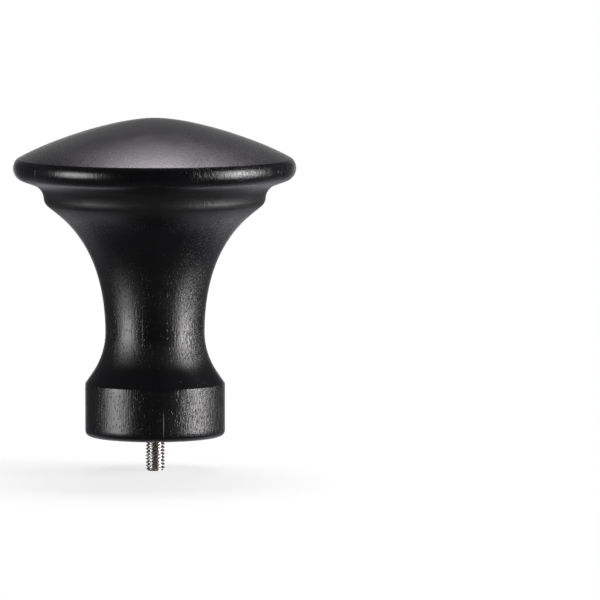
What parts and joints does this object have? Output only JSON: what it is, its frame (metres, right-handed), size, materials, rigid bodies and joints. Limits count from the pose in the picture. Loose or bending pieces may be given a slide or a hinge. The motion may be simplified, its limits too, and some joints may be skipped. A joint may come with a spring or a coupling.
{
  "type": "curtain pole finial",
  "caption": "Turned black lacquered wooden finial with a low domed head, a narrow waist, a cylindrical base and a steel screw stud for the end of a curtain pole.",
  "frame": {"origin": "centre of the flat base face, where the stud leaves the body", "axes": "+Z along the axis of the turning, from the base face towards the crown of the dome; the free end of the stud points along -Z"},
  "size_m": [0.0586, 0.0586, 0.0733],
  "materials": {
    "black_lacquered_wood": "satin black lacquer over open-pored wood, grain along the axis",
    "stud_steel": "bright rolled steel thread"
  },
  "bodies": {
    "root": {"turned_body": "black_lacquered_wood", "threaded_stud": "stud_steel"}
  },
  "joints": []
}
